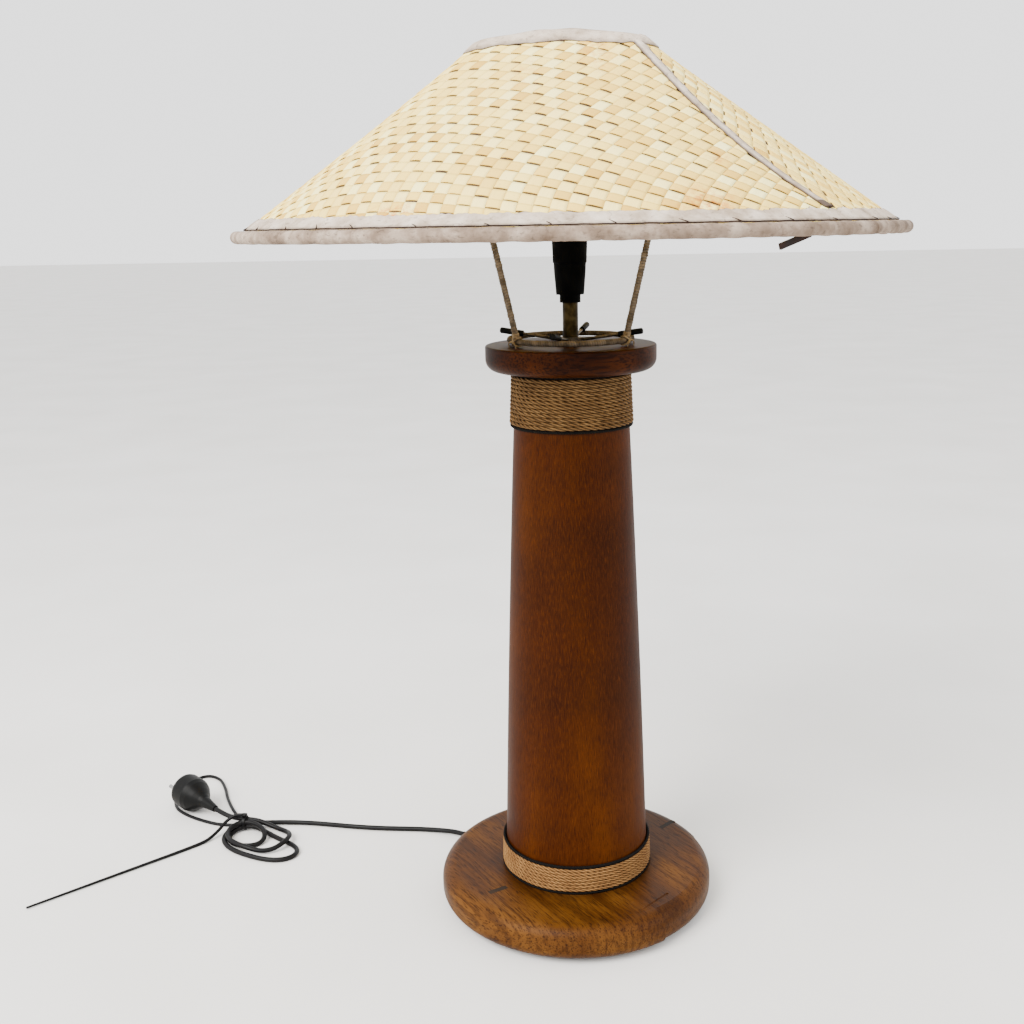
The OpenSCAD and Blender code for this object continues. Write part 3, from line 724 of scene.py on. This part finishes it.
def backing(material):
    """The layer just under the strips, seen in the slits between them. Its dark colour is painted shade.
    """
    around = np.radians(np.arange(0, 360, 3.0))
    levels = TOP_Z - np.linspace(0.035, 0.962, 25) * SHADE_H
    rings = []
    for lift in (-0.0008, -0.0014):
        order = levels if lift > -0.001 else levels[::-1]
        rings += [shade_point(around, z, lift) for z in order]
    grid = np.swapaxes(np.array(rings), 0, 1)
    faces = tube_faces(len(around), grid.shape[1], closed=True)
    return make("woven_backing", grid, faces, material, "shade")


# ---- hide parts


def hide_band(node, angles, rows, edge_shade_rows):
    """A band of hide right round the skin. rows holds its section's (height, lift) by angle; the rows in
    the last argument get painted shade along the band's edges.
    """
    section = np.stack(rows, 1)
    lines = np.zeros(section.shape[:2])
    for row, darkness in edge_shade_rows.items():
        lines[:, row] = darkness
    points = shade_point(angles[:, None], section[..., 0], section[..., 1])
    faces = [face[::-1] for face in tube_faces(len(angles), len(rows), closed=True)]
    make(node + "_hide", points, faces, HIDE, "shade", (node,), {"line": lines})


def rim_band():
    """The flat band above the rolled edge. Its upper edge is cut by hand."""
    angles = circle(2400)
    high = 0.7477 + 0.0007 * waves(angles, 3, 20, 90) + 0.0004 * waves(angles, 4, 90, 300)
    puff = 0.0002 * waves(angles, 5, 40, 160)
    low = 0.7372
    rows = []
    for share, lift in ((0, 0.0007), (0.25, 0.0013), (0.55, 0.0014), (0.8, 0.0012), (0.95, 0.0009),
                        (1, 0.0004), (0.9, 0.0002), (0.5, 0.0002), (0.04, 0.0002)):
        z = low + share * (high - low)
        swell = puff * (share * (1.3 - share) if lift > 0.0005 else 0)
        rows.append(np.stack([z, lift + swell], -1))
    # painted shade along the band's lower and upper edges
    hide_band("rim_band", angles, rows, {0: 0.8, 5: 1})


def top_collar():
    """The top edge droops at its corners, and the hide is folded over it."""
    angles = circle(1400)
    corner = np.sin(2 * (angles + TOP_TURN - CORNER_TURN))**4
    low = 0.8990 - 0.005 * corner + 0.0013 * waves(angles, 21, 3, 11)
    low = low + 0.0007 * waves(angles, 22, 14, 60)
    drop = 0.0065 * corner - 0.0006 * waves(angles, 24, 4, 20)
    puff = 0.0004 * waves(angles, 23, 10, 60)
    rows = []
    for share, lift in ((0, 0.0004), (0.04, 0.0012), (0.3, 0.0019), (0.6, 0.002), (0.85, 0.0019)):
        z = low + share * (0.911 - drop - low)
        rows.append(np.stack([z, lift + puff * (lift > 0.0005)], -1))
    for z, lift in ((0.9121, 0.0006), (0.9124, -0.0009), (0.9117, -0.0024), (0.9085, -0.0034),
                    (0.904, -0.0036), (0.9, -0.0035), (0.8998, -0.0028)):
        rows.append(np.stack([z - drop * (z > 0.903), lift + puff * (lift < -0.003)], -1))
    # painted shadow along the collar's lower edge
    hide_band("top_collar", angles, rows, {0: 1, 1: 0.35})


def seam_strip():
    """The strip that closes the mat, stitched along its right side."""
    z = np.linspace(0.7487, 0.8975, 260)
    reach = RIM_R + (0.092 - RIM_R) * (z - RIM_Z) / SHADE_H
    here = z * 40
    left, right = (middle + 0.0004 * waves(here, seed, 1, 9) + 0.0002 * waves(here, seed + 1, 10, 40)
                   for middle, seed in ((-0.0053, 31), (0.0053, 33)))
    puff = 0.00018 * waves(here, 35, 2, 14)
    points, lines = [], []
    stitched = np.where(np.sin(z * 900 + 2 * np.sin(z * 130)) > -0.25, 1.0, 0.15)
    # share across the strip, lift, and darkness: 1 for the stitched line, the rest painted shade along
    # its edges
    section = [(0, 0.0003, 0.9), (0.03, 0.0012, 0.8), (0.1, 0.0015, 0.5), (0.25, 0.0019, 0),
               (0.5, 0.002, 0), (0.75, 0.0019, 0), (0.86, 0.0014, 1), (0.93, 0.0017, 0.3),
               (0.98, 0.0012, 0.7), (1, 0.0003, 0.9), (0.8, 0.0001, 0), (0.2, 0.0001, 0)]
    for share, lift, line in section:
        sideways = left + share * (right - left)
        rise = lift + puff * (lift > 0.0012)
        points.append(shade_point(SEAM + sideways / reach, z, rise))
        lines.append(line * (stitched if line == 1 else 1) + 0 * z)
    grid, lines = np.stack(points, 1), np.stack(lines, 1)
    # darker over the lowest rows, by the rim band
    lines[:9] = np.maximum(lines[:9], 0.85)
    faces = [face[::-1] for face in tube_faces(len(z), len(section))]
    make("seam_strip_hide", grid, faces, HIDE, "shade", ("seam_strip",),
         {"line": lines})


ROLL_R, CREASES = 0.0057, 210


def rim_roll():
    """The rolled edge: soft and lumpy, with creases across it."""
    count, columns = 2600, 18
    turn = circle(count)
    path = ring_path(RIM_R, RIM_Z, count)
    side, up = frames(path, True)
    angle = circle(columns)
    radii = np.full((count, columns), ROLL_R) + 0.00022 * waves(turn, 41, 20, 90)[:, None]
    own = default_rng(42)
    crease = np.zeros((count, columns))
    for _ in range(CREASES):
        centre, lean = own.uniform(0, TAU), own.uniform(-0.006, 0.006)
        width, depth = own.uniform(0.0016, 0.0045), own.uniform(0.2, 1.0)
        facing = own.uniform(0, TAU)
        gap = (turn[:, None] - centre - lean * np.sin(angle - facing) + math.pi) % TAU - math.pi
        part = np.clip(np.cos(angle - facing) * 0.7 + 0.5, 0, 1)
        crease += depth * part * np.exp(-((gap / width)**2))
    radii -= 0.00045 * np.minimum(crease, 1.3)
    grid = swept(path, radii, side, up)
    faces = tube_faces(count, columns, closed=True)
    # painted shade in the roll's creases, through the line attribute
    make("rim_roll_hide", grid, faces, SHADED_ROLL_HIDE, "shade", ("rim_binding",),
         {"line": np.clip(crease * 0.22, 0, 0.4)})


THREAD_Z, STITCHES = 0.7378, 38


def rim_lacing(material):
    """A dark thread in the groove above the roll, with a stitch over it here and there."""
    own = default_rng(51)
    work = Bundle()
    turn = circle(1500)
    z = THREAD_Z + 0.0002 * waves(turn, 52, 30, 120)
    path = shade_point(turn, z, 0.0011)
    side, up = frames(path, True)
    work.tube(swept(path, np.full((1500, 6), 0.00045), side, up), closed=True)
    for k in range(STITCHES):
        at = (k + own.uniform(-0.2, 0.2)) * TAU / STITCHES
        lean = own.uniform(-0.012, -0.004)
        high = own.uniform(0.0016, 0.0034)
        stitch = []
        for share in np.linspace(0, 1, 9):
            level = THREAD_Z + high * share
            stitch.append(shade_point(at + lean * share**2, level, 0.0017 - 0.0006 * share))
        path = np.array(stitch)
        side, up = frames(path)
        work.tube(swept(path, np.full((9, 6), 0.0004), side, up))
    work.make("rim_lacing", material, "shade", "thong")


# ---- cord and rope parts


def column_r(z):
    """The column's radius at a height."""
    t = (np.asarray(z) - COLUMN_BOTTOM) / COLUMN_HEIGHT
    taper = COLUMN_FOOT_R + (COLUMN_HEAD_R - COLUMN_FOOT_R) * t
    return taper + COLUMN_BULGE * 4 * t * (1 - t)


def rope_wrap(material, name, low, turns, size, lay, per_turn, columns, seed):
    """One rope wound round the column. It steps up to its next turn at the back."""
    share = np.arange(int(turns * per_turn)) / per_turn
    turn = share * TAU + math.radians(60)
    step = share % 1
    rise = np.clip((step - 0.9) / 0.1, 0, 1)
    z = low + size * (np.floor(share) + rise * rise * (3 - 2 * rise) + 0.5)
    z = np.minimum(z, low + size * (turns - 0.5))
    z = z + 0.00012 * waves(turn, seed, 1, 12)
    reach = column_r(z) + size / 2 + 0.0002
    path = polar(reach, turn, z)
    work = Bundle()
    rope(work, path, size / 2 * 1.01, lay, columns, seed=seed)
    work.make(name + "_rope", material, "lamp", name + "_cord", (name + "_rope_wrap",))


def knot(work, centre, own):
    """A few small turns of cord, each tilted its own way. centre is a radius, an angle, a height."""
    for _ in range(5):
        swing = math.radians(centre[1]) + own.uniform(-0.012, 0.012)
        place = polar(centre[0], swing, centre[2])
        a, b = unit(own.normal(size=3)), unit(own.normal(size=3))
        b = unit(np.cross(a, b))
        t = circle(28)[:, None]
        loop = place + 0.0021 * (np.cos(t) * a + np.sin(t) * b)
        along = heading(loop, True)
        across = np.broadcast_to(np.cross(a, b), along.shape)
        work.tube(swept(loop, np.full((28, 8), 0.0011), across, np.cross(along, across)),
                  closed=True)


def dark_ring(node, z, extra, size, knot_at=None):
    """A thin dark rope round the column, with a knot if it has an angle for one."""
    work = Bundle()
    reach = column_r(z) + extra
    rope(work, ring_path(reach, z, 900, int(z * 1000), 0.00012), size, 5 * size, 12, True)
    if knot_at is not None:
        knot(work, (reach + 0.0015, knot_at, z - 0.0003), default_rng(61))
    work.make(node + "_cord", DARK_CORD, "lamp", "dark_cord", (node,))


CARRIER_R, CARRIER_Z = 0.0625, 0.6256
HEAD_R, HEAD_Z = 0.123, 0.870    # the upper ends of the carrier's uprights
CARRIER_DIRECTIONS = (-150, -30, 90)


def carrier():
    """The ring and three uprights that carry the shade, all wrapped in thin cord."""
    work = Bundle()
    path = ring_path(CARRIER_R, CARRIER_Z, 1400)
    side, up = frames(path, True)
    wrapped(work, path, 0.0030, 0.0025, 0.0004, side, up, True, 0.00015, 71)
    work.make("carrier_ring_wrapped", WRAPPED, "shade", "wrapped_wire", ("carrier_ring",))
    work, ties = Bundle(), Bundle()
    own = default_rng(72)
    for turn in CARRIER_DIRECTIONS:
        out = direction(turn)
        tangent = left_of(out)
        foot = CARRIER_R * out + CARRIER_Z * UPWARD
        head = HEAD_R * out + HEAD_Z * UPWARD
        rise = unit(head - foot)
        path = foot + rise * np.linspace(0.0033, norm(head - foot) - 0.0023, 820)[:, None]
        side = np.broadcast_to(tangent, path.shape)
        up = np.broadcast_to(np.cross(rise, tangent), path.shape)
        wrapped(work, path, 0.0033, 0.0028, 0.0005, side, up, False, 0.0004, 273 + turn)
        lashing(ties, foot, rise, out, tangent, own)
    work.make("uprights_wrapped", WRAPPED, "shade", "wrapped_wire", ("uprights",))
    ties.make("lashing_turns", LASHING, "shade", "lashing_cord", ("lashings",))


def lashing(ties, foot, rise, out, tangent, own):
    """The cord that ties an upright to the ring: crossed turns, level turns and two ends."""
    t = circle(40)
    for k in range(6):
        lean = (0.0039 + 0.0006 * (k % 3)) * (1 if k < 3 else -1)
        reach = 0.0038 + 0.00028 * (k % 3)
        shift = own.uniform(-0.0003, 0.0003)
        sway = (lean * np.sin(t) + shift)[:, None] * tangent
        loop = foot + sway + reach * (np.cos(t)[:, None] * out
                                      + np.sin(t)[:, None] * UPWARD)
        add_loop(ties, loop, 0.00075)
    for k in range(3):
        place = foot + rise * (0.0053 + 0.0014 * k)
        across = np.cross(rise, tangent)
        add_loop(ties, place + 0.0031 * (np.cos(t)[:, None] * tangent
                                         + np.sin(t)[:, None] * across), 0.0007)
    for sign in (-1, 1):
        start = foot + out * 0.0042 + tangent * 0.001 * sign
        ends = [start, start + out * 0.002 + tangent * 0.002 * sign,
                start + out * 0.0022 + tangent * 0.005 * sign - UPWARD * 0.002,
                start + out * 0.001 + tangent * 0.006 * sign - UPWARD * 0.006]
        path = curve_through(ends, 8)
        along = heading(path)
        side = unit(np.cross(along, out))
        ties.tube(swept(path, np.full((len(path), 8), 0.0007), side, np.cross(along, side)))


# ---- mains cord and tie

CORD_ROUTE = [
    # out of the base and across the floor
    (-136.8, 114.8, 8.1), (-147, 123, 6.8), (-160, 131, 4.4), (-180, 137, 3.2), (-205, 140, 3.1),
    (-240, 142, 3.1), (-280, 148, 3.1), (-315, 156, 3.1), (-345, 161, 3.1), (-372, 162, 3.4),
    (-390, 159, 4.8), (-402, 156.2, 6.2), (-412, 154.4, 6.6),
    # the long turn, on the floor
    (-424, 151, 5.6), (-433, 143, 4), (-437, 131, 3), (-435.5, 118, 3), (-427.5, 103, 3),
    (-413, 90, 3), (-395, 79.5, 3), (-377, 71, 3), (-359, 67, 3), (-344, 71.5, 3),
    (-336.5, 84, 3), (-341, 99, 3), (-355, 111, 3), (-372, 123.5, 3.1), (-386, 136, 3.8),
    (-399, 145, 5.6), (-411, 148.2, 6.6),
    # the short turn, inside it
    (-422, 145.5, 5.2), (-429.5, 137.5, 3.4), (-430.5, 126, 3), (-426, 114.5, 3),
    (-417, 106.5, 3), (-405, 103, 3), (-393, 105, 3), (-385, 113, 3.4), (-384.5, 124, 8.2),
    (-390.5, 134, 11), (-401, 142.8, 12.4), (-413, 147.2, 12.7),
    # the third turn, lying on both
    (-424, 145.2, 11.4), (-431, 137.5, 9.7), (-432, 126, 9.1), (-428.5, 114, 9.1),
    (-420.5, 103, 9.1), (-409, 95, 9), (-396, 89, 7.6), (-383, 87, 4.4), (-369, 90, 4.6),
    (-358.5, 98, 7.8), (-353, 110, 9.2), (-353, 122, 8), (-360, 134, 5.2), (-372, 142.5, 4.8),
    (-386, 148.5, 7.6), (-399, 152.4, 11.6), (-412, 153.6, 12.7),
    # to the plug
    (-424, 154.2, 13.4), (-436, 157.5, 14.4), (-448, 164.8, 16.2), (-458.8, 173, 17.8)]

TIE_LOOP = [
    (-417.5, 160.2, 7), (-424, 167, 4.6), (-433, 181, 2.2), (-446, 204, 1.6), (-459, 232, 1.6),
    (-471, 264, 1.6), (-485, 290, 1.6), (-503, 301, 1.6), (-519, 290, 1.6), (-528, 262, 1.6),
    (-528, 232, 1.6), (-519, 207, 1.6), (-503, 190, 1.6), (-483, 176, 1.6), (-462, 165, 1.6),
    (-448, 160.5, 1.6), (-436, 158.5, 1.8), (-427, 158.3, 2.2), (-417.5, 157.8, 2.2)]
TIE_TAIL = [
    (-417.5, 150, 20.4), (-428, 149.5, 19.4), (-438, 144.5, 14), (-446, 134, 7), (-455, 121, 2.6),
    (-466, 109, 1.6), (-490, 87, 1.6), (-530, 52, 1.6), (-575, 12.5, 1.6), (-620, -27, 1.6)]
WAIST, WAIST_HALF = np.array([-0.416, 0.151, 0.0096]), 0.0081    # where the tie grips the turns
TIE_R, SMOOTHINGS = 0.0021, 60


def lead(material):
    """The mains cord: one smooth curve from the base to its plug."""
    path = curve_through(CORD_ROUTE, 10) * MM
    for _ in range(SMOOTHINGS):
        path[1:-1] = (path[:-2] + 2 * path[1:-1] + path[2:]) / 4
    length = norm(np.diff(path, axis=0), axis=1).sum()
    path = np.vstack([path[::5], path[-1:]])
    data = bpy.data.curves.new("mains_lead", "CURVE")
    data.dimensions = "3D"
    data.bevel_depth = 0.003
    data.bevel_resolution = 5
    data.resolution_u = 6
    spline = data.splines.new("BEZIER")
    spline.bezier_points.add(len(path) - 1)
    along = heading(path)
    reach = norm(np.diff(path, axis=0), axis=1) / 3
    for k, bend in enumerate(spline.bezier_points):
        bend.handle_left_type = bend.handle_right_type = "FREE"
        bend.co = path[k]
        bend.handle_left = path[k] - along[k] * reach[max(k - 1, 0)]
        bend.handle_right = path[k] + along[k] * reach[min(k, len(reach) - 1)]
    data.materials.append(material)
    thing = new_object("mains_lead", data)
    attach(thing, "lamp")
    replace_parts(thing, "mains_cord", "cord_coil", "plug_lead")


def cable_tie(material):
    """The black tie: its band and head at the waist, its loop to the plug, and its tail."""
    work = Bundle()
    axis = direction(-5)
    across = left_of(axis)
    t = circle(72)
    reach = WAIST_HALF / (np.abs(np.cos(t))**2.5 + np.abs(np.sin(t))**2.5)**(1 / 2.5)
    spoke = np.cos(t)[:, None] * across + np.sin(t)[:, None] * UPWARD
    phi = circle(20)
    thick = 0.0007 * np.sign(np.cos(phi)) * np.abs(np.cos(phi))**0.6
    wide = 0.0023 * np.sign(np.sin(phi)) * np.abs(np.sin(phi))**0.5
    grid = (WAIST + (reach[:, None, None] + thick[None, :, None]) * spoke[:, None, :]
            - wide[None, :, None] * axis)
    work.tube(grid, closed=True)
    rows = []
    for share in np.linspace(-1, 1, 13):
        angle = share * math.pi / 2
        along = 0.0032 * math.copysign(abs(math.sin(angle))**0.45, share)
        size = max(math.cos(angle), 0)**0.45 + 1e-3
        wide = 0.0034 * np.sign(np.cos(phi)) * np.abs(np.cos(phi))**0.45
        tall = 0.0017 * np.sign(np.sin(phi)) * np.abs(np.sin(phi))**0.45
        rows.append(WAIST + UPWARD * 0.0103 + axis * along + size * wide[:, None] * across
                    + size * tall[:, None] * UPWARD)
    work.tube(np.array(rows))
    for route, taper in ((TIE_LOOP, 0), (TIE_TAIL, 40)):
        path = curve_through(route, 10) * MM + UPWARD * 0.0005
        side, lift = frames(path)
        radii = np.full((len(path), 12), TIE_R)
        if taper:
            radii[-taper:] *= np.linspace(1, 0.6, taper)[:, None]
        work.tube(swept(path, radii, side, lift))
    work.make("cable_tie_round", material, "lamp", "tie_black", ("cable_tie",))


# ---- the build

add_camera()
CORD_BLACK = plain("cord_black", (16, 14, 15), (9, 8, 8), 0.48, 0.16)
TIE_BLACK = plain("tie_black", (12, 11, 13), (7, 6, 8), 0.45, 0.15)
lead(CORD_BLACK)
cable_tie(TIE_BLACK)

HIDE = hide("hide", (148, 131, 113), (180, 164, 147), (204, 190, 174))
# painted shade: a darker copy of the hide for the roll, which faces down
SHADED_ROLL_HIDE = hide("rolled_hide_painted_shade", (98, 82, 69), (128, 111, 97), (160, 144, 129))
# the last colour given to each fibre_cord is the painted shade in its grooves
DARK_CORD = fibre_cord("dark_cord", (9, 8, 7), (18, 16, 14), (32, 28, 25), (4, 3, 3))
WRAPPED = wrap_cord("wrapped_wire", (98, 86, 72), (64, 55, 44))
LASHING = wrap_cord("lashing_cord", (140, 122, 96), (100, 84, 62))
THONG = plain("thong", (46, 28, 18), (28, 17, 11), 0.6, 0.15)
LOWER_CORD = fibre_cord("lower_cord", (92, 62, 37), (124, 90, 55), (150, 116, 74), (54, 34, 18))
UPPER_CORD = fibre_cord("upper_cord", (58, 39, 22), (98, 73, 45), (148, 118, 80), (10, 6, 3))

strips = straw()
weave("woven_strips", strips, True, 5)
weave("woven_strips_inside", strips, False, 3)
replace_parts(backing(painted_slit_shade()), "woven_skin")
rim_band()
top_collar()
seam_strip()
rim_roll()
rim_lacing(THONG)
rope_wrap(LOWER_CORD, "lower", low=0.0438, turns=7, size=0.0037, lay=0.019, per_turn=1000,
          columns=12, seed=7)
rope_wrap(UPPER_CORD, "upper", low=0.5396, turns=12, size=0.0042, lay=0.025, per_turn=750,
          columns=16, seed=8)
dark_ring("lower_ring_top", z=0.07165, extra=0.002, size=0.0019, knot_at=150)
dark_ring("lower_ring_bottom", z=0.0424, extra=0.0028, size=0.0013)
dark_ring("upper_ring_top", z=0.59195, extra=0.002, size=0.0019)
dark_ring("upper_ring_bottom", z=0.53785, extra=0.0018, size=0.0017)
carrier()

steel = brushed("steel", (176, 176, 174), (120, 120, 120), 0.36)
brass = brushed("brass", (176, 142, 78), (120, 92, 48), 0.34)
old_brass = brushed("old_brass", (58, 49, 31), (34, 28, 18), 0.45)
wire = brushed("frame_wire", (124, 118, 106), (86, 80, 72), 0.5, (1, 1, 1))
holder = plain("holder_black", (3, 3, 3), (1, 1, 1), 0.66, 0.03)
plug = plain("plug_black", (10, 10, 9), (5, 5, 5), 0.48, 0.13)
FINISHES = {
    base_wood(): "base_disc",
    plain("key_wood", (44, 35, 27), (24, 18, 13), 0.6, 0.1, 160, 0.4, 0.0003): "key_inlays",
    plain("foot_rubber", (38, 38, 38), (26, 26, 26), 0.75): "base_feet",
    steel: "foot_screws base_nut base_washer cord_clamp clamp_screws holder_screw plug_pins",
    column_wood(): "column",
    disc_wood(): "top_disc",
    old_brass: "pole_washer pole_tube",
    brass: "lamp_pipe terminal_screws screw_shell centre_contact",
    holder: "holder_cap holder_sleeve switch_bar",
    plain("insert_cream", (226, 216, 198), (206, 194, 172), 0.35): "holder_insert",
    plain("core_sleeve", (140, 84, 48), (110, 62, 36), 0.5): "lead_cores",
    brushed("hub_metal", (96, 86, 72), (58, 52, 46), 0.42): "spider",
    plain("cap_rubber", (10, 10, 10), (5, 5, 5), 0.62, 0.1): "spider_caps",
    wire: "shade_ring shade_ribs top_wire rim_wire",
    THONG: "rim_thong",
    CORD_BLACK: "inner_lead",
    plug: "strain_relief plug_body",
}
for finish, names in FINISHES.items():
    for name in names.split():
        for slot in cad[name].material_slots:
            slot.material = finish

floor_mesh = bpy.data.meshes.new("floor")
floor_mesh.from_pydata([(-30, -30, 0), (30, -30, 0), (30, 30, 0), (-30, 30, 0)], [], [(0, 1, 2, 3)])
floor_mesh.materials.append(floor_paint())
floor = new_object("floor", floor_mesh)
add_world((1.0, 1.0, 1.0), 2.2)
add_area("key", (-1.9, -2.0, 2.8), (0, 0, 0.5), 2.2, 330, (1.0, 0.98, 0.95))
add_area("fill", (2.8, -1.4, 1.7), (0, 0, 0.5), 2.4, 40, (0.98, 0.99, 1.0))
